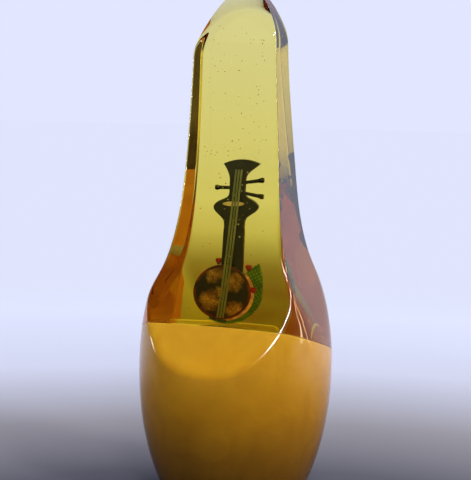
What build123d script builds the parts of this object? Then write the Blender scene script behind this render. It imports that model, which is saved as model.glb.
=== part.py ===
from build123d import *
from math import asin, atan, cos, radians, sin, sqrt
import os

# Finger plectrum cast in resin: a round butt of opaque cream resin with a finger bore,
# a clear faceted blade growing out of it, and a flat little lute laid in the blade.
# Millimetres, +Z up from the rim plane to the striking tip, -Y is the broad front facet
# that the lute faces, +X is the right-hand narrow facet. Origin: centre of the rim.

# ---- driving dimensions ------------------------------------------------------------
LENGTH = 73.5            # rim plane to striking tip
FINGER_D = 14.6          # index finger tip that wears it
FINGER_CLEARANCE = 0.3   # radial room around the finger
BORE_R = FINGER_D / 2 + FINGER_CLEARANCE
BORE_DEPTH = 18.0        # depth of the bore from the rim plane
BORE_END_ROUND = 2.0     # radius at the blind end of the bore
RIM_WALL = 1.95          # resin left around the bore at the rim plane
RIM_ROUND = 0.7          # outer edge of the rim
MOUTH_ROUND = 0.5        # inner edge of the rim

BUTT_R = 14.0            # widest radius of the butt
BUTT_WIDE_Z = 0.2585 * LENGTH      # height of the widest circle
RIM_R = BORE_R + RIM_WALL          # outer radius at the rim plane
# half heights of the ellipses below and above the widest circle; the lower one is the
# ellipse that comes in to RIM_R at the rim plane, so the wall there stays as it is set
LOWER_SEMI = BUTT_WIDE_Z / sqrt(1 - (RIM_R / BUTT_R) ** 2)
UPPER_SEMI = 1.58 * BUTT_WIDE_Z
TURN_IN = 0.62           # share of UPPER_SEMI where the ellipse hands over to a cone
WIDE = BUTT_R / 14.0     # blade widths below are for a butt of 14.0
LONG = LENGTH / 73.5     # blade heights below are for a length of 73.5
NECK_R = 9.6 * WIDE      # radius of that cone at the tip plane

POUR_Z = 23.6 * LONG     # top of the cream resin on the long axis
POUR_X = -1.5            # crest of the cream resin, left of centre
POUR_CROWN_R = 220.0     # crown radius of that surface, seen from the front
POUR_TILT = 14.0         # degrees the surface falls towards the back

EDGE_ROUND = 0.5         # radius along the four long edges of the blade
NOSE_LEN = 5.0 * LONG    # length of the rounded nose, seen from the side
TIP_LEAN = -0.5          # sideways lean of the blade at its tip

# half width (X), and front and back depth (Y), of the ground facets at shares of LENGTH.
# The front facet flares late and hollow, the back one early and straighter.
STATION = [0.19, 0.22, 0.252, 0.284, 0.322, 0.354, 0.384, 0.408, 0.449, 0.503, 0.571,
           0.667, 0.762, 0.857]
HALF_W = [17.4, 16.6, 15.5, 14.3, 13.5, 12.75, 12.0, 11.2, 9.7, 8.45, 7.6, 7.0, 6.6, 6.3]
FRONT_D = [19.8, 17.7, 15.2, 12.9, 10.8, 9.3, 8.1, 7.3, 6.3, 5.4, 4.65, 3.95, 3.45, 3.05]
BACK_D = [15.6, 14.9, 14.1, 13.2, 12.0, 11.0, 9.9, 9.0, 7.5, 6.0, 4.8, 3.95, 3.45, 3.05]

# the lute: a flat cut-out in layers, lying on the face of the first clear pour
LUTE_LEN = 24.8 * min(LONG, WIDE)  # bottom of the drum to top of the head
K = LUTE_LEN / 24.8      # all lute outlines are drawn at 24.8 long and scaled by this
LUTE_GAP = 0.65          # clear resin between the cream resin and the drum
LUTE_Z = POUR_Z + LUTE_GAP         # height of the bottom of the drum
BED_Y = 0.2              # plane between the two clear pours, which the lute lies on
NECK_T = 0.8             # thickness of the neck plate
DRUM_T = 0.9             # thickness of the drum body
SKIN_T = 0.1             # thickness of the skin on the drum
NUT_T = 0.25             # thickness of the nut on the neck
STRING_T = 0.15          # string thickness
STRING_W = 0.26          # string width
STRING_PITCH = 0.42      # string spacing
KNOT_R = 0.5             # cord knot radius
DRUM_C = (-1.3, 4.85)    # drum centre, lute coordinates
DRUM_R = 4.4             # outside of the rim ring
RIM_W = 0.4              # width of the rim ring
EDGING_W = 0.5           # widest part of the pale edging
BAND_W = 1.05            # widest part of the green side band

os.makedirs("parts", exist_ok=True)


def save(part, name):
    part.label = name
    export_step(part, "parts/" + name + ".step")
    print(name, round(part.volume, 3), "mm3", len(part.solids()), "solid")


# ---- outside shape -----------------------------------------------------------------
def lower_r(z):
    return BUTT_R * sqrt(1 - ((BUTT_WIDE_Z - z) / LOWER_SEMI) ** 2)


def upper_r(z):
    return BUTT_R * sqrt(1 - ((z - BUTT_WIDE_Z) / UPPER_SEMI) ** 2)


def round_blank():
    """The turned outside: an egg shape that runs on into a slow cone."""
    z_turn = BUTT_WIDE_Z + TURN_IN * UPPER_SEMI
    below = [(lower_r(BUTT_WIDE_Z * i / 10), BUTT_WIDE_Z * i / 10) for i in range(11)]
    above = [(upper_r(BUTT_WIDE_Z + (z_turn - BUTT_WIDE_Z) * i / 6),
              BUTT_WIDE_Z + (z_turn - BUTT_WIDE_Z) * i / 6) for i in range(1, 7)]
    wall = Spline(*(below + above))
    r_turn = upper_r(z_turn)
    top = LENGTH + 1.0
    rest = Polyline((r_turn, z_turn), (NECK_R, top), (0, top), (0, 0), (below[0][0], 0))
    face = make_face([wall, *rest.edges()])
    blank = revolve(Plane.XZ * face, Axis.Z)
    rim = blank.edges().filter_by(GeomType.CIRCLE).sort_by(Axis.Z)[0]
    return fillet(rim, RIM_ROUND)


def facet_points(half):
    return [(h * WIDE, s * LENGTH) for h, s in zip(half, STATION)]


def lean(z):
    """Sideways shift of the blade, easing in over its upper third."""
    t = min(max((z / LENGTH - 0.6) / 0.325, 0), 1)
    return TIP_LEAN * t * t * (3 - 2 * t)


def narrow_facets():
    """Front view outline: the two narrow facets and the worn, lopsided tip."""
    right = [(x + lean(z), z) for x, z in facet_points(HALF_W)]
    left = [(-x + lean(z), z) for x, z in facet_points(HALF_W)]
    tip = [(6.2, -6.4), (4.5, -2.6), (2.7, -0.55), (0.75, 0), (-1.3, -1.0), (-3.5, -3.6),
           (-5.35, -6.9)]
    tip = [(x * WIDE + TIP_LEAN, LENGTH + z) for x, z in tip]
    wall = Spline(*(right + tip + left[::-1]))
    z0 = right[0][1]
    base = Polyline(left[0], (-BUTT_R * 2, z0), (-BUTT_R * 2, -5), (BUTT_R * 2, -5),
                    (BUTT_R * 2, z0), right[0])
    face = make_face([wall, *base.edges()])
    return extrude(Plane.XZ * face, amount=BUTT_R * 2, both=True)


def broad_facets():
    """Side view outline: the two broad facets and the rounded nose."""
    front = [(-y, z) for y, z in facet_points(FRONT_D)]
    back = facet_points(BACK_D)
    d_top = 2.6 * WIDE
    z_nose = LENGTH - NOSE_LEN
    nose = [(d_top * cos(radians(a)), z_nose + NOSE_LEN * sin(radians(a)))
            for a in range(0, 181, 20)]
    wall = Spline(*(back + nose + front[::-1]))
    z0 = back[0][1]
    base = Polyline(front[0], (-BUTT_R * 2, z0), (-BUTT_R * 2, -5), (BUTT_R * 2, -5),
                    (BUTT_R * 2, z0), back[0])
    face = make_face([wall, *base.edges()])
    return extrude(Plane.YZ * face, amount=BUTT_R * 2, both=True)


def whole_outside():
    body = round_blank() & narrow_facets() & broad_facets()
    # the four long edges of the blade, softened by polishing
    long_edges = [e for e in body.edges()
                  if e.bounding_box().size.Z > 0.35 * LENGTH
                  and e.center().Z > 0.5 * LENGTH]
    print("long edges found", len(long_edges))
    return fillet(long_edges, EDGE_ROUND)


def below_pour():
    """Everything under the domed, slightly tilted top of the cream resin."""
    drum = Cylinder(POUR_CROWN_R, 6 * BUTT_R + POUR_CROWN_R)
    drum = Rot(90, 0, 0) * drum
    drum = Rot(-POUR_TILT, 0, 0) * drum
    drop = POUR_CROWN_R / cos(radians(POUR_TILT))
    return Pos(POUR_X, 0, POUR_Z - drop) * drum


# ---- cream finger cup --------------------------------------------------------------------
def finger_bore():
    bore = Pos(0, 0, BORE_DEPTH / 2) * Cylinder(BORE_R, BORE_DEPTH)
    end = bore.edges().filter_by(GeomType.CIRCLE).sort_by(Axis.Z)[-1]
    return fillet(end, BORE_END_ROUND)


def finger_cup(outside, pour):
    body = (outside & pour) - finger_bore()
    mouth = [e for e in body.edges().filter_by(GeomType.CIRCLE)
             if abs(e.center().Z) < 0.01 and abs(e.radius - BORE_R) < 0.01]
    return fillet(mouth, MOUTH_ROUND)


# ---- the lute ----------------------------------------------------------------------
def lute_plane(layer):
    """Drawing plane a given height in front of the bed, facing the front."""
    return Plane(origin=(0, BED_Y - layer, LUTE_Z), x_dir=(1, 0, 0), z_dir=(0, -1, 0))


def plate(face, layer, thickness):
    return extrude(lute_plane(layer) * face, amount=thickness)


def at(x, z):
    return (x * K, z * K)


def disc(centre, r):
    return Pos(centre[0] * K, centre[1] * K) * Circle(r * K)


def lute_neck():
    """Head, peg box, shoulders and neck, cut from one dark plate."""
    right = Spline(at(1.52, 8.2), at(1.52, 10.4), at(1.5, 12.6), at(1.47, 14.6),
                   at(1.62, 16.2), at(2.75, 17.1),
                   at(3.45, 18.0), at(2.6, 18.95), at(1.5, 19.6), at(1.38, 21.0),
                   at(1.5, 22.4), at(2.45, 23.4), at(3.5, 24.25))
    top = ThreePointArc(at(3.5, 24.25), at(0.8, 24.8), at(-2.0, 24.1))
    left = Spline(at(-2.0, 24.1), at(-1.4, 23.2), at(-1.02, 22.2), at(-0.98, 20.8),
                  at(-1.1, 19.5), at(-2.3, 18.8), at(-3.3, 17.75), at(-2.7, 16.85),
                  at(-1.72, 15.9), at(-1.62, 14.4), at(-1.65, 12.4), at(-1.7, 10.3),
                  at(-1.75, 8.2))
    foot = Line(at(-1.75, 8.2), at(1.52, 8.2))
    face = make_face([right, top, left, foot])
    return plate(face - disc(DRUM_C, DRUM_R), 0, NECK_T)


def drum_rim():
    return plate(disc(DRUM_C, DRUM_R) - disc(DRUM_C, DRUM_R - RIM_W), 0, DRUM_T + SKIN_T)


def drum_body():
    return plate(disc(DRUM_C, DRUM_R - RIM_W), 0, DRUM_T)


def drum_skin():
    return plate(disc(DRUM_C, DRUM_R - RIM_W), DRUM_T, SKIN_T)


def sector(a0, a1):
    """Pie slice about the drum centre, angles in degrees from +X."""
    steps = 8
    pts = [DRUM_C]
    for i in range(steps + 1):
        a = radians(a0 + (a1 - a0) * i / steps)
        pts.append((DRUM_C[0] + 12 * cos(a), DRUM_C[1] + 12 * sin(a)))
    return make_face(Polyline(*[at(*p) for p in pts], close=True))


def edging_circle():
    """Outside of the pale edging: pushed off centre to the lower right."""
    shift = EDGING_W / 2
    centre = (DRUM_C[0] + shift * cos(radians(-8)), DRUM_C[1] + shift * sin(radians(-8)))
    return disc(centre, DRUM_R + EDGING_W / 2)


def band_circle():
    shift = (EDGING_W + BAND_W) / 2
    centre = (DRUM_C[0] + shift * cos(radians(5)), DRUM_C[1] + shift * sin(radians(5)))
    return disc(centre, DRUM_R + (EDGING_W + BAND_W) / 2)


def band_end():
    """Loose upper end of the band, a short leaf standing off the drum."""
    outer = Spline(at(4.62, 5.6), at(4.5, 7.6), at(3.85, 9.65))
    inner = Spline(at(3.85, 9.65), at(2.9, 8.9), at(2.1, 8.1))
    back = Polyline(at(2.1, 8.1), at(2.1, 5.6), at(4.62, 5.6))
    return make_face([outer, inner, *back.edges()])


def band_edging():
    face = (edging_circle() - disc(DRUM_C, DRUM_R)) & sector(-78, 42)
    return plate(face, 0, DRUM_T)


def side_band():
    whole = (band_circle() & sector(-112, 40)) + band_end()
    return plate(whole - edging_circle() - disc(DRUM_C, DRUM_R), 0, DRUM_T)


def peg(x0, z0, x1, z1):
    """Tapered peg, thin at the peg box and thick at its knob, with a domed end."""
    run = sqrt((x1 - x0) ** 2 + (z1 - z0) ** 2)
    profile = Polyline((0, 0), (0.24, 0), (0.27, run * 0.7), (0.4, run - 0.3),
                       (0.32, run), (0, run), close=True)
    body = revolve(Plane.XZ * scale(make_face(profile), by=K), Axis.Z)
    way = Vector(x1 - x0, 0, z1 - z0)
    seat = Plane(origin=(x0 * K, BED_Y - NECK_T / 2 - 0.02, LUTE_Z + z0 * K), z_dir=way)
    return seat * body


def nut():
    face = Pos(-0.25 * K, 18.35 * K) * Rot(0, 0, 2) * Ellipse(1.62 * K, 0.34 * K)
    return plate(face, NECK_T, NUT_T)


def string_line(n):
    """String n (-1, 0, 1), from the head down over the nut and the drum."""
    top = (0.45 + n * STRING_PITCH, 23.35)
    low = (-1.28 + n * STRING_PITCH, 0.75)
    dx = low[0] - top[0]
    dz = low[1] - top[1]
    run = sqrt(dx * dx + dz * dz)
    mid = ((top[0] + low[0]) / 2, (top[1] + low[1]) / 2)
    face = Pos(mid[0] * K, mid[1] * K) * Rot(0, 0, -90 + 180 - 57.2958 * atan(dx / dz))
    return plate(face * Rectangle(run * K, STRING_W * K), NECK_T + NUT_T, STRING_T)


def knot(x, z, layer):
    """Short round of red cord lying on the face below it."""
    body = plate(disc((x, z), KNOT_R), layer, 0.35)
    edge = body.edges().filter_by(GeomType.CIRCLE).sort_by(Axis.Y)[0]
    return fillet(edge, 0.15)


def main():
    outside = whole_outside()
    pour = below_pour()
    save(finger_cup(outside, pour), "finger_cup")

    lute = {
        "lute_neck": lute_neck(),
        "drum_rim": drum_rim(),
        "drum_body": drum_body(),
        "drum_skin": drum_skin(),
        "band_edging": band_edging(),
        "side_band": side_band(),
        "nut": nut(),
        "string_left": string_line(-1),
        "string_middle": string_line(0),
        "string_right": string_line(1),
        "knot_left": knot(-2.26, 9.72, 0),
        "knot_right": knot(2.55, 9.1, DRUM_T),
        "knot_lower": knot(3.45, 5.7, DRUM_T),
    }
    neck = lute["lute_neck"]
    pegs = {
        "peg_upper_right": peg(1.2, 21.45, 4.15, 21.95),
        "peg_lower_right": peg(1.2, 19.95, 4.17, 19.5),
        "peg_left": peg(-0.8, 20.65, -3.22, 20.6),
    }
    for name, one in pegs.items():
        lute[name] = one - neck

    clear = outside - pour
    room = 4 * LENGTH
    front_box = Pos(0, BED_Y - room / 2, 0) * Box(room, room, room)
    front = clear & front_box
    back = clear - front_box
    for name, one in lute.items():
        front = front - one
        save(one, name)
    save(back, "blade_back")
    save(front, "blade_front")


main()
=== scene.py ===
# %% [markdown]
# # A finger plectrum of cast resin, with a little lute inside
#
# The real object is cast in two resins. A fat round cup of opaque cream resin takes the
# finger, and a clear amber blade grows out of it. A flat miniature lute lies inside the
# blade. The casting is turned round, then four facets are ground on it and polished.
#
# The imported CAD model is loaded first. It fixes every place and size, so each piece made
# here goes where the CAD says. Lengths are written in millimetres and scaled by MM.

# %% Load the frame
import math

import bpy
import numpy as np
from mathutils import Matrix, Vector


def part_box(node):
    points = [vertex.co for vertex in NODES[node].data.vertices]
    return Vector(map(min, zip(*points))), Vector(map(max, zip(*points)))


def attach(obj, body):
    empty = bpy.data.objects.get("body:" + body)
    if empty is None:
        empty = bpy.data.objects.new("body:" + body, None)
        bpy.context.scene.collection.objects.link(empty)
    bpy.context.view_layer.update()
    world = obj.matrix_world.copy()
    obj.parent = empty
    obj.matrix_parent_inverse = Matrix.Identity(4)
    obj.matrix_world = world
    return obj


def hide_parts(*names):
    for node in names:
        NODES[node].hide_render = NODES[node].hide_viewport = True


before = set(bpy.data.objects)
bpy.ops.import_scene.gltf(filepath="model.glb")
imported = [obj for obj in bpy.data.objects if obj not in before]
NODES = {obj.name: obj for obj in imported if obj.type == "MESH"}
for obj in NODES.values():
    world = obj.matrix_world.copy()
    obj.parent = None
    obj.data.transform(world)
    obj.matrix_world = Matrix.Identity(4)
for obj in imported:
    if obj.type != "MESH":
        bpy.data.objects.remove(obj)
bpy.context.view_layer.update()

MM = 0.001
print("CAD nodes:", len(NODES))

# %% [markdown]
# ## The outside shape
#
# The shape could be made by cutting a turned blank with four boolean tools, as the grinding
# wheel does. Booleans leave slivers along the creases, and clear resin shows every one of
# them as a broken reflection. So the shape is written as a rule instead: at each height the
# outline is a rounded rectangle (the four facets) held inside a circle (the turned blank),
# and the two are blended over a fraction of a millimetre, as polishing blends them.

# %% The turned blank and the ground facets
LENGTH = 73.45
BUTT_R = 13.985
WIDE_Z = 19.0
BELLY_BELOW = 26.0
BELLY_ABOVE = 30.02
TURN_IN = 0.62
TIP_CONE_R = 9.6
STATION = np.array([0.19, 0.22, 0.252, 0.284, 0.322, 0.354, 0.384, 0.408, 0.449, 0.503,
                    0.571, 0.667, 0.762, 0.857, 0.94, 1.05]) * 73.5
HALF_W = np.array([17.4, 16.6, 15.5, 14.3, 13.5, 12.75, 12.0, 11.2, 9.7, 8.45, 7.6, 7.0,
                   6.6, 6.3, 6.2, 6.1])
FRONT_D = np.array([19.8, 17.7, 15.2, 12.9, 10.8, 9.3, 8.1, 7.3, 6.3, 5.4, 4.65, 3.95,
                    3.45, 3.05, 2.75, 2.5])
BACK_D = np.array([15.6, 14.9, 14.1, 13.2, 12.0, 11.0, 9.9, 9.0, 7.5, 6.0, 4.8, 3.95,
                   3.45, 3.05, 2.75, 2.5])


def smooth_curve(x, y):
    """Natural cubic spline through a few given points, as a function."""
    n = len(x)
    h = np.diff(x)
    a = np.zeros((n, n))
    b = np.zeros(n)
    a[0, 0] = a[-1, -1] = 1.0
    for i in range(1, n - 1):
        a[i, i - 1], a[i, i], a[i, i + 1] = h[i - 1], 2 * (h[i - 1] + h[i]), h[i]
        b[i] = 6 * ((y[i + 1] - y[i]) / h[i] - (y[i] - y[i - 1]) / h[i - 1])
    m = np.linalg.solve(a, b)

    def value(t):
        t = np.clip(np.asarray(t, float), x[0], x[-1])
        i = np.clip(np.searchsorted(x, t) - 1, 0, n - 2)
        d = t - x[i]
        slope = (y[i + 1] - y[i]) / h[i] - h[i] * (2 * m[i] + m[i + 1]) / 6
        return y[i] + slope * d + m[i] / 2 * d ** 2 + (m[i + 1] - m[i]) / (6 * h[i]) * d ** 3

    return value


half_width = smooth_curve(STATION, HALF_W)
front_depth = smooth_curve(STATION, FRONT_D)
back_depth = smooth_curve(STATION, BACK_D)


def blank_radius(z):
    """Radius of the turned blank: an egg shape that runs on into a slow cone."""
    z = np.asarray(z, float)
    below = BUTT_R * np.sqrt(np.clip(1 - ((WIDE_Z - z) / BELLY_BELOW) ** 2, 0, 1))
    above = BUTT_R * np.sqrt(np.clip(1 - ((z - WIDE_Z) / BELLY_ABOVE) ** 2, 0, 1))
    z_turn = WIDE_Z + TURN_IN * BELLY_ABOVE
    r_turn = BUTT_R * math.sqrt(1 - TURN_IN ** 2)
    cone = r_turn + (TIP_CONE_R - r_turn) * (z - z_turn) / (LENGTH + 1 - z_turn)
    return np.where(z < WIDE_Z, below, np.where(z < z_turn, above, cone))


print("half width, front depth, back depth and blank radius at mid length:",
      [round(float(f(LENGTH / 2)), 2)
       for f in (half_width, front_depth, back_depth, blank_radius)])

# %% The worn tip and the outline at a height
TIP_LEAN = -0.5                     # the blade leans a little to the left at its tip
LEAN_FROM, LEAN_OVER = 44.0, 24.0   # height where the lean starts, and how far it eases in


def soft_min(a, b, k):
    """The smaller of two lengths, blended over k."""
    h = np.clip(k - np.abs(a - b), 0, None) / k
    return np.minimum(a, b) - h * h * k / 4


def lean(z):
    """Sideways shift of the blade at height z."""
    t = np.clip((z - LEAN_FROM) / LEAN_OVER, 0, 1)
    return TIP_LEAN * t * t * (3 - 2 * t)


def side_reach(z, side):
    """How far the outline reaches to one side (+1 right, -1 left) of the long axis."""
    wide = half_width(z)
    down = np.clip(LENGTH - z, 0, None)
    if side > 0:
        shoulder = 0.75 + 5.45 * (down / 6.4) ** 0.42
    else:
        shoulder = -0.75 + 7.1 * (down / 9.0) ** 0.56
    shoulder = shoulder + 0.6 * np.clip(down - 11.0, 0, None)
    return soft_min(wide, shoulder, 0.5) + side * lean(z)


def ray_to_rounded_box(c, s, g, f, rc):
    """Length of a ray from the centre of a rounded rectangle to its edge."""
    c, s = np.abs(c) + 1e-9, np.abs(s) + 1e-9
    gx, fy = g - rc, f - rc
    b = c * gx + s * fy
    inside = np.clip(b * b - (gx * gx + fy * fy - rc * rc), 0, None)
    arc = b + np.sqrt(inside)
    r = np.where(g * s / c <= fy, g / c, np.where(f * c / s <= gx, f / s, arc))
    return r


CREASE_BLEND = 0.9
EDGE_R_LOW, EDGE_R_HIGH = 0.6, 0.4       # edge radius near the shoulders and up the blade
ARCH_Z, ARCH_BOW = 69.7, 0.1             # top of the bevel's lower edge, its drop per x squared
BEVEL_Y, BEVEL_SLOPE = 2.75, 0.47        # half depth at that edge, and how fast it closes


def outline_point(t, z):
    """Point of the outside at height z. t runs once round, with the edges at 45 degrees."""
    right, left = side_reach(z, 1), side_reach(z, -1)
    g = np.maximum((right + left) / 2, 1e-4)
    xc = (right - left) / 2
    f = np.where(np.sin(t) < 0, front_depth(z), back_depth(z))
    aspect = np.clip(f / g, 0.05, 1.0)
    th = np.arctan2(np.sin(t) * aspect, np.cos(t))
    c, s = np.cos(th), np.sin(th)
    up_blade = np.clip((z - 33.0) / 14.0, 0, 1)
    edge = EDGE_R_LOW + (EDGE_R_HIGH - EDGE_R_LOW) * up_blade * up_blade * (3 - 2 * up_blade)
    rc = np.minimum(edge, 0.8 * np.minimum(g, f))
    box = ray_to_rounded_box(c, s, g, f, rc)
    r = soft_min(box, blank_radius(z), CREASE_BLEND)
    x, y = xc + r * c, r * s
    # the nose: two soft bevels ground towards the striking edge, arched across the blade
    bevel = BEVEL_Y + BEVEL_SLOPE * (ARCH_Z - ARCH_BOW * (x - 0.2) ** 2 - z)
    crown = 1.9 * np.sqrt(np.clip(LENGTH - z, 0, None))
    reach = soft_min(soft_min(np.abs(y), bevel, 0.15), crown, 0.3)
    y = np.sign(y) * np.clip(reach, 0, None)
    return x, y


# %% The top of the cream resin
POUR_Z = 23.6
POUR_X = -1.5
POUR_CROWN_R = 220.0
POUR_TILT = math.radians(14.0)


def pour_height(x, y):
    crown = POUR_CROWN_R - np.sqrt(POUR_CROWN_R ** 2 - (x - POUR_X) ** 2)
    return POUR_Z - math.tan(POUR_TILT) * y - crown / math.cos(POUR_TILT)


def pour_line(t):
    """Height of the joint between the two resins, all round the outside."""
    z = np.full_like(t, POUR_Z)
    for _ in range(60):
        x, y = outline_point(t, z)
        z = 0.6 * z + 0.4 * pour_height(x, y)
    return z


COLUMNS = 288
turn = np.arange(COLUMNS) / COLUMNS * 2 * math.pi
turn = turn + 0.18 * np.sin(4 * turn)      # closer columns along the four long edges
line_z = pour_line(turn)
print("joint line from", round(line_z.min(), 2), "to", round(line_z.max(), 2), "mm")

# %% A ball becomes a casting
def ball(name, rings):
    """A UV sphere whose rings will each become one level of a casting."""
    bpy.ops.object.select_all(action="DESELECT")
    bpy.ops.mesh.primitive_uv_sphere_add(segments=COLUMNS, ring_count=rings + 1, radius=1.0)
    piece = bpy.context.active_object
    piece.name = piece.data.name = name
    return piece


def wrap(piece, rows, top, bottom):
    """Moves ring i of the ball to rows[i], an (x, y, z) triple of arrays in mm."""
    mesh = piece.data
    co = np.empty(len(mesh.vertices) * 3)
    mesh.vertices.foreach_get("co", co)
    co = co.reshape(-1, 3)
    n = len(rows)
    ring = np.rint(np.arccos(np.clip(co[:, 2], -1, 1)) / math.pi * (n + 1)).astype(int)
    column = np.rint(np.arctan2(co[:, 1], co[:, 0]) / (2 * math.pi) * COLUMNS).astype(int)
    column %= COLUMNS
    place = np.empty_like(co)
    for v in range(len(co)):
        if ring[v] == 0:
            place[v] = top
        elif ring[v] == n + 1:
            place[v] = bottom
        else:
            x, y, z = rows[ring[v] - 1]
            place[v] = x[column[v]], y[column[v]], z[column[v]]
    mesh.vertices.foreach_set("co", (place * MM).ravel())
    mesh.update()
    bpy.ops.object.shade_smooth()
    return piece


def level(z):
    """One level of the outside, as three arrays."""
    x, y = outline_point(turn, z)
    return x, y, np.broadcast_to(z, turn.shape).astype(float)


# %% [markdown]
# ## The clear blade
#
# The blade was poured twice: half of it, then the lute, then the rest. The two pours
# bonded, and no seam shows, so one closed mesh stands for both. It is a solid of clear
# amber resin: light bends into it, runs about inside it, and loses blue on the way.
#
# Its foot goes a third of a millimetre down into the cream resin, inside the wall, so that
# no two faces lie on each other.

# %% Blade mesh
FOOT_STEP = 0.06
FOOT_DEPTH = 0.35
blade_rows = []
share = np.concatenate([np.linspace(0.0, 0.06, 26)[1:] ** 1.6 / 0.06 ** 0.6,
                        np.linspace(0.06, 0.72, 88)[1:],
                        np.linspace(0.72, 1.0, 82)[1:]])
for s in share:
    blade_rows.append(level(LENGTH - (LENGTH - line_z) * s))
x_line, y_line, _ = blade_rows[-1]
r_line = np.hypot(x_line, y_line)
for inset, drop in ((FOOT_STEP, 0.02), (FOOT_STEP, FOOT_DEPTH)):
    k = (r_line - inset) / r_line
    blade_rows.append((x_line * k, y_line * k, line_z - drop))
for k in (0.97, 0.9, 0.75, 0.5, 0.25):
    x, y = x_line * k, y_line * k
    blade_rows.append((x, y, pour_height(x, y) - FOOT_DEPTH))
blade = ball("clear_blade", len(blade_rows))
wrap(blade, blade_rows, (0.2, 0.0, LENGTH), (0.0, 0.0, POUR_Z - FOOT_DEPTH))
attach(blade, "root")
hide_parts("blade_front", "blade_back")
print("blade faces:", len(blade.data.polygons))

# %% [markdown]
# ## The cream cup
#
# The cup carries on the same outside, so it is made with the same rule. From the middle of
# its top it runs out to the joint line, down the wall, round the rim and up the bore.

# %% Cup mesh
BORE_R = 7.6
BORE_DEPTH = 18.0
BORE_END_R = 2.0
RIM_R = 0.7               # rounding of the rim's outer edge
MOUTH_R = 0.5             # rounding of its inner edge


def ring_level(r, z):
    return r * np.cos(turn), r * np.sin(turn), np.full_like(turn, z)


cup_rows = []
for k in (0.12, 0.3, 0.5, 0.7, 0.85, 0.94, 0.985):
    x, y = x_line * k, y_line * k
    cup_rows.append((x, y, pour_height(x, y)))
for s in np.linspace(0, 1, 96) ** 1.25:
    cup_rows.append(level(line_z + (RIM_R - line_z) * s))
r_wall = float(blank_radius(RIM_R))
for a in np.radians((18, 36, 54, 72, 90)):
    cup_rows.append(ring_level(r_wall - RIM_R * (1 - math.cos(a)), RIM_R * (1 - math.sin(a))))
for a in np.radians((0, 22, 45, 68, 90)):
    cup_rows.append(ring_level(BORE_R + MOUTH_R * (1 - math.sin(a)), MOUTH_R * (1 - math.cos(a))))
for z in np.linspace(MOUTH_R, BORE_DEPTH - BORE_END_R, 12)[1:]:
    cup_rows.append(ring_level(BORE_R, z))
for a in np.radians((22, 45, 68, 90)):
    cup_rows.append(ring_level(BORE_R - BORE_END_R * (1 - math.cos(a)),
                               BORE_DEPTH - BORE_END_R * (1 - math.sin(a))))
for r in (3.5, 1.5):
    cup_rows.append(ring_level(r, BORE_DEPTH))
cup = ball("cream_cup", len(cup_rows))
wrap(cup, cup_rows, (0.0, 0.0, float(pour_height(0.0, 0.0))), (0.0, 0.0, BORE_DEPTH))
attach(cup, "root")
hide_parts("finger_cup")
print("cup faces:", len(cup.data.polygons))

# %% [markdown]
# ## Finishes
#
# Each finish is a node material. Small helpers make the nodes and join them, so that each
# recipe reads from left to right: where a point is, then noise, then a ramp of colours.
#
# The clear resin is glass to the renderer, and its colour comes from what the solid absorbs
# on the way through, so thin edges are pale and thick parts are deep amber. Its polish is
# nearly perfect: the tint, the gloss and the surface wander by very little.
#
# The cream resin lets light a little way in. Its colour darkens towards the rim, and that is
# painted shade for the dim light low on the cup. It has slow streaks from stirring and a few
# dark specks.

# %% Node helpers
def new_finish(name):
    mat = bpy.data.materials.new(name)
    mat.use_nodes = True
    mat.node_tree.nodes.clear()
    return mat


def node(tree, kind, **values):
    """Adds a node. Values name its properties, or its input sockets by their label."""
    made = tree.nodes.new(kind)
    for key, value in values.items():
        label = key.replace("_", " ")
        if hasattr(made, key):
            setattr(made, key, value)
        else:
            made.inputs[label].default_value = value
    return made


def join(tree, source, target):
    tree.links.new(source, target)


def put_on(piece, mat):
    piece.data.materials.clear()
    piece.data.materials.append(mat)


def ramp(t, source, *stops):
    """A colour ramp from (position, colour) stops, fed by source."""
    made = node(t, "ShaderNodeValToRGB")
    slots = made.color_ramp.elements
    for i, (position, colour) in enumerate(stops):
        slot = slots[i] if i < 2 else slots.new(position)
        slot.position = position
        slot.color = (*colour, 1)
    join(t, source, made.inputs["Fac"])
    return made.outputs["Color"]


def spread(t, source, low, high, to_low=0.0, to_high=1.0):
    """Maps source from low..high to to_low..to_high, clamped."""
    made = node(t, "ShaderNodeMapRange")
    join(t, source, made.inputs["Value"])
    for label, value in (("From Min", low), ("From Max", high),
                         ("To Min", to_low), ("To Max", to_high)):
        made.inputs[label].default_value = value
    return made.outputs["Result"]


def noise(t, where, scale, detail=3.0, distortion=0.0, output="Fac"):
    made = node(t, "ShaderNodeTexNoise", Scale=scale, Detail=detail, Distortion=distortion)
    join(t, where, made.inputs["Vector"])
    return made.outputs[output]


def blend(t, kind, factor, a, b):
    """Mixes two colours. Each of factor, a and b is a socket or a plain value."""
    made = node(t, "ShaderNodeMix", data_type="RGBA", blend_type=kind)
    for slot, value in ((made.inputs[0], factor), (made.inputs[6], a), (made.inputs[7], b)):
        if isinstance(value, bpy.types.NodeSocket):
            join(t, value, slot)
        else:
            slot.default_value = value
    return made.outputs[2]


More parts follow.
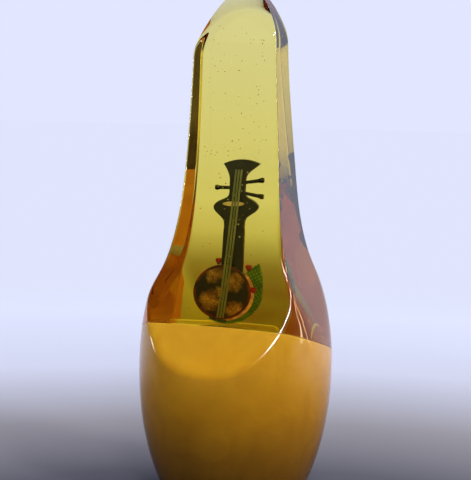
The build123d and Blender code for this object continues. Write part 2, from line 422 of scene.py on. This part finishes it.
# %% Clear amber resin
def clear_resin():
    mat = new_finish("clear_amber_resin")
    t = mat.node_tree
    out = node(t, "ShaderNodeOutputMaterial")
    glass = node(t, "ShaderNodeBsdfPrincipled")
    where = node(t, "ShaderNodeTexCoord").outputs["Object"]
    cure = spread(t, noise(t, where, 110.0, 3.0, 0.8), 0.35, 0.65)
    join(t, ramp(t, cure, (0.0, (1.0, 0.995, 0.97)), (1.0, (0.985, 0.975, 0.93))),
         glass.inputs["Base Color"])
    wear = spread(t, noise(t, where, 520.0, 4.0), 0.52, 0.75, 0.0, 0.025)
    join(t, wear, glass.inputs["Roughness"])
    polish = node(t, "ShaderNodeBump", Strength=0.12)
    polish.inputs["Distance"].default_value = 0.00001
    join(t, noise(t, where, 130.0, 2.0), polish.inputs["Height"])
    join(t, polish.outputs["Normal"], glass.inputs["Normal"])
    glass.inputs["IOR"].default_value = 1.5
    glass.inputs["Transmission Weight"].default_value = 1.0
    absorb = node(t, "ShaderNodeVolumeAbsorption")
    absorb.inputs["Color"].default_value = (0.958, 0.872, 0.03, 1)
    absorb.inputs["Density"].default_value = 230.0
    join(t, glass.outputs["BSDF"], out.inputs["Surface"])
    join(t, absorb.outputs["Volume"], out.inputs["Volume"])
    return mat


put_on(blade, clear_resin())


# %% Cream resin
def cream_resin():
    mat = new_finish("cream_resin")
    t = mat.node_tree
    out = node(t, "ShaderNodeOutputMaterial")
    skin = node(t, "ShaderNodeBsdfPrincipled")
    where = node(t, "ShaderNodeTexCoord").outputs["Object"]
    parts = node(t, "ShaderNodeSeparateXYZ")
    join(t, where, parts.inputs[0])
    # painted shade: the colour runs from bright at the joint line to dark at the rim, standing in
    # for the dim light low on the cup; the swirl only makes the band waver
    swirl = noise(t, where, 90.0, 2.0, 1.2)
    wander = node(t, "ShaderNodeMath", operation="MULTIPLY_ADD")
    wander.inputs[1].default_value = 0.004
    join(t, swirl, wander.inputs[0])
    join(t, parts.outputs["Z"], wander.inputs[2])
    shade_by_height = spread(t, wander.outputs[0], 0.002, 0.028)
    tone = ramp(t, shade_by_height, (0.0, (0.100, 0.043, 0.003)), (1.0, (0.58, 0.30, 0.016)),
                (0.28, (0.22, 0.095, 0.004)), (0.55, (0.44, 0.20, 0.007)),
                (0.78, (0.55, 0.265, 0.010)))
    streaks = spread(t, noise(t, where, 160.0, 5.0, 2.2), 0.35, 0.7)
    tone = blend(t, "MULTIPLY", streaks, tone, (0.90, 0.86, 0.80, 1))
    specks = node(t, "ShaderNodeTexVoronoi", Scale=260.0)
    join(t, where, specks.inputs["Vector"])
    dots = spread(t, specks.outputs["Distance"], 0.05, 0.09, 1.0, 0.0)
    rare = spread(t, noise(t, where, 70.0, 1.0), 0.60, 0.64)
    both = node(t, "ShaderNodeMath", operation="MULTIPLY")
    join(t, dots, both.inputs[0])
    join(t, rare, both.inputs[1])
    tone = blend(t, "MIX", both.outputs[0], tone, (0.05, 0.02, 0.005, 1))
    join(t, tone, skin.inputs["Base Color"])
    join(t, spread(t, noise(t, where, 420.0, 4.0), 0.3, 0.7, 0.06, 0.13), skin.inputs["Roughness"])
    skin.inputs["IOR"].default_value = 1.5
    skin.inputs["Subsurface Weight"].default_value = 0.35
    skin.inputs["Subsurface Scale"].default_value = 0.003
    skin.inputs["Subsurface Radius"].default_value = (1.0, 0.55, 0.12)
    ripples = node(t, "ShaderNodeBump", Strength=0.25)
    ripples.inputs["Distance"].default_value = 0.00006
    join(t, noise(t, where, 240.0, 3.0), ripples.inputs["Height"])
    join(t, ripples.outputs["Normal"], skin.inputs["Normal"])
    join(t, skin.outputs["BSDF"], out.inputs["Surface"])
    return mat


put_on(cup, cream_resin())


# %% [markdown]
# ## Air bubbles
#
# Hand-poured resin keeps a few bubbles, each a tenth of a millimetre or less. They are tiny
# balls whose finish bends light the other way, since light goes from resin into air.

# %% Bubbles
BUBBLES = 110
chance = np.random.default_rng(11)
bpy.ops.object.select_all(action="DESELECT")
bpy.ops.mesh.primitive_ico_sphere_add(subdivisions=1, radius=1.0)
bubbles = bpy.context.active_object
bubbles.name = bubbles.data.name = "air_bubbles"
unit = np.array([v.co[:] for v in bubbles.data.vertices])
faces = np.array([p.vertices[:] for p in bubbles.data.polygons])
spots, corners = [], []
for i in range(BUBBLES):
    z = chance.uniform(49.0, 68.0) if i < 85 else chance.uniform(27.0, 49.0)
    x = chance.uniform(-0.85, 0.85) * float(half_width(z)) * 0.8
    y = chance.uniform(-0.8, -0.3) * float(front_depth(z))
    size = chance.uniform(0.05, 0.12)
    spots.append(unit * size + (x, y, z))
    corners.append(faces + i * len(unit))
bubbles.data.clear_geometry()
bubbles.data.from_pydata(np.vstack(spots) * MM, [], np.vstack(corners).tolist())
bpy.ops.object.shade_smooth()
mat = new_finish("air_bubble")
t = mat.node_tree
out = node(t, "ShaderNodeOutputMaterial")
air = node(t, "ShaderNodeBsdfPrincipled")
where = node(t, "ShaderNodeTexCoord").outputs["Object"]
join(t, ramp(t, noise(t, where, 300.0), (0.3, (0.42, 0.34, 0.14)), (0.7, (0.85, 0.80, 0.55))),
     air.inputs["Base Color"])
air.inputs["Roughness"].default_value = 0.02
air.inputs["IOR"].default_value = 0.67
air.inputs["Transmission Weight"].default_value = 1.0
join(t, air.outputs["BSDF"], out.inputs["Surface"])
put_on(bubbles, mat)
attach(bubbles, "root")
print("bubbles:", BUBBLES)

# %% [markdown]
# ## Cord knots
#
# Three bits of red cord dress the lute. Each is a single overhand knot pulled tight. Such a
# knot is a trefoil, so one formula gives the path of its middle line, and a thin round bevel
# gives the cord. The CAD's studs give the places.

# %% Knots
CORD_R = 0.19
LOOP_R = 0.36


def cord_knot(stud_name):
    low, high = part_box(stud_name)
    centre = (Vector(low) + Vector(high)) / 2
    curve = bpy.data.curves.new(stud_name + "_path", "CURVE")
    curve.dimensions = "3D"
    curve.bevel_depth = CORD_R * MM
    curve.bevel_resolution = 3
    path = curve.splines.new("POLY")
    path.use_cyclic_u = True
    steps = 72
    path.points.add(steps - 1)
    for i in range(steps):
        a = 2 * math.pi * i / steps
        place = Vector((math.sin(a) + 2 * math.sin(2 * a), -0.32 * math.sin(3 * a),
                        math.cos(a) - 2 * math.cos(2 * a))) * LOOP_R * MM / 3
        path.points[i].co = (*(centre + place), 1)
    knot = bpy.data.objects.new("cord_" + stud_name, curve)
    bpy.context.scene.collection.objects.link(knot)
    bpy.ops.object.select_all(action="DESELECT")
    knot.select_set(True)
    bpy.context.view_layer.objects.active = knot
    bpy.ops.object.convert(target="MESH")
    knot = bpy.context.active_object
    bpy.ops.object.shade_smooth()
    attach(knot, "root")
    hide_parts(stud_name)
    return knot


KNOTS = [cord_knot(name) for name in ("knot_left", "knot_right", "knot_lower")]
print("knot faces:", [len(k.data.polygons) for k in KNOTS])

# %% [markdown]
# ## The lute's finishes
#
# The lute is a flat cut-out, painted and dressed by hand: black lacquer with dust in it, a
# snake skin on the drum, green cloth along its side and knots of red cord. It is seen through
# yellow resin, so its colours are set a little bluer than they look.

# %% Lute finishes
def painted(name, low, high, scale, rough=(0.35, 0.6), bump=0.00003, fleck=None, stretch=None):
    """A hand finish: two tones in cloudy patches, uneven gloss, fine relief and flecks."""
    mat = new_finish(name)
    t = mat.node_tree
    out = node(t, "ShaderNodeOutputMaterial")
    skin = node(t, "ShaderNodeBsdfPrincipled")
    where = node(t, "ShaderNodeTexCoord").outputs["Object"]
    if stretch:
        pull = node(t, "ShaderNodeMapping")
        pull.inputs["Scale"].default_value = stretch
        join(t, where, pull.inputs["Vector"])
        where = pull.outputs["Vector"]
    cloud = spread(t, noise(t, where, scale, 4.0, 0.6), 0.36, 0.64)
    tone = blend(t, "MIX", cloud, (*low, 1), (*high, 1))
    if fleck:
        specks = node(t, "ShaderNodeTexVoronoi", Scale=1500.0)
        join(t, where, specks.inputs["Vector"])
        dots = spread(t, specks.outputs["Distance"], 0.16, 0.24, 1.0, 0.0)
        rare = spread(t, noise(t, where, 900.0, 1.0), 0.50, 0.54)
        both = node(t, "ShaderNodeMath", operation="MULTIPLY")
        join(t, dots, both.inputs[0])
        join(t, rare, both.inputs[1])
        tone = blend(t, "MIX", both.outputs[0], tone, (*fleck, 1))
    join(t, tone, skin.inputs["Base Color"])
    join(t, spread(t, noise(t, where, scale * 2), 0.3, 0.7, *rough), skin.inputs["Roughness"])
    relief = node(t, "ShaderNodeBump", Strength=0.6)
    relief.inputs["Distance"].default_value = bump
    join(t, noise(t, where, scale * 3, 3.0), relief.inputs["Height"])
    join(t, relief.outputs["Normal"], skin.inputs["Normal"])
    join(t, skin.outputs["BSDF"], out.inputs["Surface"])
    return mat


# centres of the golden patches of the snake skin, in mm across (X) and up (Z)
PATCHES = [(-3.0, 27.8), (0.5, 31.2), (0.9, 26.2), (-2.9, 32.2), (-1.2, 29.4)]


def snake_skin():
    """Golden patches on near black, cut by the fine net of the scales."""
    mat = painted("snake_skin", (0.17, 0.075, 0.02), (0.50, 0.27, 0.075), 700.0, (0.4, 0.6))
    t = mat.node_tree
    skin = t.nodes["Principled BSDF"]
    where = node(t, "ShaderNodeTexCoord").outputs["Object"]
    jitter = node(t, "ShaderNodeVectorMath", operation="MULTIPLY_ADD")
    join(t, noise(t, where, 520.0, 4.0, 0.5, "Color"), jitter.inputs[0])
    jitter.inputs[1].default_value = (0.0026, 0.0, 0.0026)
    join(t, where, jitter.inputs[2])
    nearest = None
    for i, (x, z) in enumerate(PATCHES):
        flat = node(t, "ShaderNodeVectorMath", operation="MULTIPLY")
        join(t, jitter.outputs[0], flat.inputs[0])
        flat.inputs[1].default_value = (1, 0, 1)
        gap = node(t, "ShaderNodeVectorMath", operation="DISTANCE")
        join(t, flat.outputs[0], gap.inputs[0])
        gap.inputs[1].default_value = ((x + 1.3) * MM, 0, (z + 1.3) * MM)
        size = node(t, "ShaderNodeMath", operation="MULTIPLY")
        join(t, gap.outputs["Value"], size.inputs[0])
        size.inputs[1].default_value = 1.0 if i < 4 else 1.9
        here = size.outputs[0]
        if nearest is not None:
            least = node(t, "ShaderNodeMath", operation="MINIMUM")
            join(t, nearest, least.inputs[0])
            join(t, here, least.inputs[1])
            here = least.outputs[0]
        nearest = here
    patch = spread(t, nearest, 0.0009, 0.0018, 1.0, 0.0)
    tone = skin.inputs["Base Color"].links[0].from_socket
    tone = blend(t, "MIX", patch, (0.010, 0.013, 0.018, 1), tone)
    scales = node(t, "ShaderNodeTexVoronoi", Scale=2100.0, feature="DISTANCE_TO_EDGE")
    join(t, where, scales.inputs["Vector"])
    net = spread(t, scales.outputs["Distance"], 0.02, 0.14, 0.5, 1.0)
    join(t, blend(t, "MULTIPLY", 1.0, tone, net), skin.inputs["Base Color"])
    return mat


def green_cloth():
    """Woven cloth: two crossed sets of threads a quarter of a millimetre apart."""
    mat = painted("green_cloth", (0.06, 0.17, 0.01), (0.16, 0.36, 0.03), 500.0, (0.7, 0.9))
    t = mat.node_tree
    skin = t.nodes["Principled BSDF"]
    where = node(t, "ShaderNodeTexCoord").outputs["Object"]
    heights = []
    for turn_by in (0.5, 2.07):
        aim_at = node(t, "ShaderNodeMapping")
        aim_at.inputs["Rotation"].default_value = (0, turn_by, 0)
        join(t, where, aim_at.inputs["Vector"])
        thread = node(t, "ShaderNodeTexWave", Scale=640.0, Distortion=0.6)
        join(t, aim_at.outputs["Vector"], thread.inputs["Vector"])
        heights.append(thread.outputs["Fac"])
    weave = node(t, "ShaderNodeMath", operation="MULTIPLY")
    join(t, heights[0], weave.inputs[0])
    join(t, heights[1], weave.inputs[1])
    relief = node(t, "ShaderNodeBump", Strength=0.8)
    relief.inputs["Distance"].default_value = 0.00006
    join(t, weave.outputs[0], relief.inputs["Height"])
    join(t, relief.outputs["Normal"], skin.inputs["Normal"])
    tone = skin.inputs["Base Color"].links[0].from_socket
    join(t, blend(t, "MULTIPLY", 0.6, tone, weave.outputs[0]), skin.inputs["Base Color"])
    return mat


LACQUER = painted("black_lacquer", (0.002, 0.003, 0.003), (0.009, 0.012, 0.011), 260.0,
                  (0.25, 0.5), fleck=(0.50, 0.55, 0.40))
RED_CORD = painted("red_cord", (0.16, 0.008, 0.006), (0.42, 0.03, 0.02), 1400.0, (0.7, 0.9),
                   0.00008)
STRING = painted("grey_string", (0.11, 0.14, 0.10), (0.26, 0.30, 0.22), 800.0, (0.4, 0.6),
                 stretch=(1, 1, 0.15))
FINISH = {
    "lute_neck": LACQUER, "peg_left": LACQUER, "peg_upper_right": LACQUER,
    "peg_lower_right": LACQUER,
    "nut": painted("pale_horn", (0.50, 0.36, 0.15), (0.80, 0.66, 0.38), 420.0, (0.3, 0.5)),
    "drum_body": painted("drum_wood", (0.02, 0.014, 0.008), (0.07, 0.04, 0.02), 200.0,
                         stretch=(1, 1, 5)),
    "drum_rim": painted("dark_red_lacquer", (0.030, 0.006, 0.005), (0.17, 0.022, 0.012), 420.0,
                        (0.3, 0.6)),
    "drum_skin": snake_skin(), "side_band": green_cloth(),
    "band_edging": painted("pale_cord", (0.42, 0.17, 0.11), (0.72, 0.46, 0.30), 900.0,
                           (0.6, 0.9), 0.00006),
    "string_left": STRING, "string_middle": STRING, "string_right": STRING,
}
for name, mat in FINISH.items():
    put_on(NODES[name], mat)
for knot in KNOTS:
    put_on(knot, RED_CORD)
print("lute finishes:", len(set(m.name for m in FINISH.values())))

# %% [markdown]
# ## The table
#
# The object stands on a sheet of pale paper that falls into shade towards the camera. A lamp
# could make that shade, but it would darken the object too. So the shade is painted on the
# paper, as rings round a point in front of the object, and far away the paper glows by itself
# to meet the backdrop. Polished cream resin would mirror the bright paper in front of it, so
# mirror rays see that part dark. Rays that pass through the clear resin also count as glossy
# to the renderer, so they are taken out first.

# %% Floor
PAPER = (0.76, 0.80, 1.0, 1)
SHADE_CENTRE_OFFSET = (-0.014, 0.030, 0)
bpy.ops.object.select_all(action="DESELECT")
bpy.ops.mesh.primitive_circle_add(vertices=96, radius=2.5, fill_type="NGON",
                                  location=(0, 0, -0.00005))
floor = bpy.context.active_object
floor.name = "floor"
mat = new_finish("floor_paper")
t = mat.node_tree
out = node(t, "ShaderNodeOutputMaterial")
where = node(t, "ShaderNodeTexCoord").outputs["Object"]
offset = node(t, "ShaderNodeVectorMath", operation="ADD")
offset.inputs[1].default_value = SHADE_CENTRE_OFFSET
join(t, where, offset.inputs[0])
reach = node(t, "ShaderNodeVectorMath", operation="LENGTH")
join(t, offset.outputs["Vector"], reach.inputs[0])
shade = ramp(t, reach.outputs["Value"], (0.05, (0.09, 0.09, 0.11)), (0.24, PAPER[:3]),
             (0.09, (0.26, 0.25, 0.27)), (0.15, (0.60, 0.62, 0.75)))
paper = node(t, "ShaderNodeBsdfDiffuse")
glow = node(t, "ShaderNodeEmission", Strength=0.98)
join(t, shade, paper.inputs["Color"])
join(t, shade, glow.inputs["Color"])
paper_mix = node(t, "ShaderNodeMixShader")
join(t, spread(t, reach.outputs["Value"], 0.05, 0.30), paper_mix.inputs["Fac"])
join(t, paper.outputs["BSDF"], paper_mix.inputs[1])
join(t, glow.outputs["Emission"], paper_mix.inputs[2])
path = node(t, "ShaderNodeLightPath")
mirror = node(t, "ShaderNodeMath", operation="SUBTRACT", use_clamp=True)
join(t, path.outputs["Is Glossy Ray"], mirror.inputs[0])
join(t, path.outputs["Is Transmission Ray"], mirror.inputs[1])
ahead = node(t, "ShaderNodeSeparateXYZ")
join(t, where, ahead.inputs[0])
dim = node(t, "ShaderNodeMath", operation="MULTIPLY")
join(t, spread(t, ahead.outputs["Y"], -0.04, 0.06, 0.95, 0.0), dim.inputs[0])
join(t, mirror.outputs[0], dim.inputs[1])
black = node(t, "ShaderNodeBsdfDiffuse", Color=(0.02, 0.02, 0.02, 1))
hide = node(t, "ShaderNodeMixShader")
join(t, dim.outputs[0], hide.inputs["Fac"])
join(t, paper_mix.outputs["Shader"], hide.inputs[1])
join(t, black.outputs["BSDF"], hide.inputs[2])
join(t, hide.outputs["Shader"], out.inputs["Surface"])
put_on(floor, mat)
print("floor stands at", floor.location.z / MM, "mm")

# %% [markdown]
# ## The room
#
# A pale wall lights clear resin from behind, and that is what makes it glow. An even wall
# all round would also wash out the cream cup, so the room is bright behind the object and
# dim on the camera's side, and dimmer still for mirror rays. The camera, and the rays that
# pass through the resin, see the wall at full brightness.

# %% World
world = bpy.data.worlds.new("studio")
bpy.context.scene.world = world
world.use_nodes = True
wt = world.node_tree
sky = wt.nodes["Background"]
way = node(wt, "ShaderNodeTexCoord")
parts = node(wt, "ShaderNodeSeparateXYZ")
join(wt, way.outputs["Generated"], parts.inputs[0])
seen = node(wt, "ShaderNodeLightPath")
gloss = node(wt, "ShaderNodeMix", data_type="FLOAT")
join(wt, seen.outputs["Is Glossy Ray"], gloss.inputs["Factor"])
join(wt, spread(wt, parts.outputs["Y"], -0.35, 0.25, 0.45, 1.05), gloss.inputs["A"])
join(wt, spread(wt, parts.outputs["Y"], 0.0, 0.8, 0.03, 0.95), gloss.inputs["B"])
clear_way = node(wt, "ShaderNodeMath", operation="MAXIMUM")
join(wt, seen.outputs["Is Camera Ray"], clear_way.inputs[0])
join(wt, seen.outputs["Is Transmission Ray"], clear_way.inputs[1])
pick = node(wt, "ShaderNodeMix", data_type="FLOAT")
pick.inputs["B"].default_value = 1.0
join(wt, clear_way.outputs[0], pick.inputs["Factor"])
join(wt, gloss.outputs["Result"], pick.inputs["A"])
sky.inputs["Color"].default_value = PAPER
join(wt, pick.outputs["Result"], sky.inputs["Strength"])
print("room nodes:", len(wt.nodes))

# %% [markdown]
# ## Lamps
#
# Polish shows only in what it mirrors. Each small lamp is there for one highlight: two tall
# strips draw the lines down the right of the cup, a small square lights the U-shaped crease
# where the front facet meets the round, and a narrow spot marks the left shoulder.

# %% Lamps
def soft_lamp(name, place, aim, size, power, colour=(1, 1, 1)):
    data = bpy.data.lights.new(name, "AREA")
    data.shape = "RECTANGLE"
    data.size, data.size_y = size
    data.energy = power
    data.color = colour
    lamp = bpy.data.objects.new(name, data)
    bpy.context.scene.collection.objects.link(lamp)
    lamp.location = place
    lamp.rotation_euler = (Vector(aim) - Vector(place)).to_track_quat("-Z", "Y").to_euler()
    return lamp


soft_lamp("overhead", (0.05, -0.06, 0.60), (0, 0, 0.04), (0.22, 0.22), 1.3)
soft_lamp("right_strip", (0.408, 0.10, 0.14), (0, 0, 0.03), (0.03, 0.26), 0.3,
          (1.0, 0.86, 0.55))
soft_lamp("right_strip_far", (0.356, 0.223, 0.14), (0, 0, 0.03), (0.015, 0.26), 0.22,
          (1.0, 0.86, 0.55))
soft_lamp("front_right", (0.33, -0.19, 0.34), (0, 0, 0.06), (0.07, 0.07), 0.9)
soft_lamp("crease_light", (0.186, -0.365, 0.287), (0, 0, 0.02), (0.07, 0.07), 0.6)
soft_lamp("left_spot", (-0.40, -0.07, 0.07), (0, 0, 0.02), (0.02, 0.05), 0.12)

# %% [markdown]
# ## Cards behind the object
#
# The blade's narrow left facet bends the view far round to the side, so it shows what stands
# behind the object and not the wall. Two cards stand there out of the camera's sight. They are
# no lamps, yet both glow by themselves. The dark one's dim glow darkens the upper part of that
# facet, and the warm one, which lies on the table, is a painted orange glow that colours its
# lower part orange.

# %% Cards
def card(name, place, aim, size):
    """A flat card out of the camera's sight that the clear resin shows."""
    bpy.ops.object.select_all(action="DESELECT")
    bpy.ops.mesh.primitive_plane_add(size=1.0, location=place)
    made = bpy.context.active_object
    made.name = name
    made.scale = (size[0], size[1], 1)
    made.rotation_euler = (Vector(aim) - Vector(place)).to_track_quat("Z", "Y").to_euler()
    made.visible_camera = False
    made.visible_shadow = False
    made.visible_glossy = False
    return made


def card_paint(name, scale, low, high):
    """Paint that glows by itself, in two cloudy tones."""
    mat = new_finish(name)
    t = mat.node_tree
    out = node(t, "ShaderNodeOutputMaterial")
    glow = node(t, "ShaderNodeEmission")
    where = node(t, "ShaderNodeTexCoord").outputs["Object"]
    cloud = spread(t, noise(t, where, scale), 0.3, 0.7)
    join(t, ramp(t, cloud, (0.0, low), (1.0, high)), glow.inputs["Color"])
    join(t, glow.outputs["Emission"], out.inputs["Surface"])
    return mat


dark = card("dark_card", (0.052, 0.143, 0.044), (0, 0, 0.044), (0.06, 0.051))
put_on(dark, card_paint("dark_card_paint", 5.0, (0.03, 0.02, 0.012), (0.10, 0.06, 0.03)))

# painted glow: the warm card lights nothing and is seen only through the clear resin, where it
# shows as orange light in the left facet
warm = card("warm_card", (0.0522, 0.1433, 0.0005), (0.0522, 0.1433, 1), (0.04, 0.215))
warm.rotation_euler = (0, 0, math.radians(-20))
warm.visible_diffuse = False
put_on(warm, card_paint("warm_card_paint", 4.0, (0.34, 0.12, 0.012), (0.50, 0.20, 0.03)))
print("cards:", dark.name, warm.name)

# %% [markdown]
# ## The camera
#
# A long lens from a quarter of a metre, turned 20 degrees to the right of the front facet
# and 5 degrees above the table. The object leans a little in the view, so the camera rolls.
# The tip and the rim go just past the edges of the frame.

# %% Camera
AZIMUTH, ELEVATION, DISTANCE = math.radians(20), math.radians(5), 0.250
ROLL = math.radians(1.6)
cam_data = bpy.data.cameras.new("camera")
cam_data.lens = 129.7
cam = bpy.data.objects.new("camera", cam_data)
bpy.context.scene.collection.objects.link(cam)
bpy.context.scene.camera = cam
back = Vector((math.sin(AZIMUTH) * math.cos(ELEVATION),
               -math.cos(AZIMUTH) * math.cos(ELEVATION), math.sin(ELEVATION)))
right = Vector((math.cos(AZIMUTH), math.sin(AZIMUTH), 0))
up = back.cross(right)
aim = Vector((0, 0, 0.03675)) - right * 0.0005 + up * 0.00065
turned = (Matrix((right, up, back)).transposed() @ Matrix.Rotation(ROLL, 3, "Z"))
cam.matrix_world = Matrix.Translation(aim + back * DISTANCE) @ turned.to_4x4()
cam_data.clip_start = 0.01
bpy.context.scene.view_settings.view_transform = "Standard"
print("camera at", [round(c, 3) for c in cam.location])
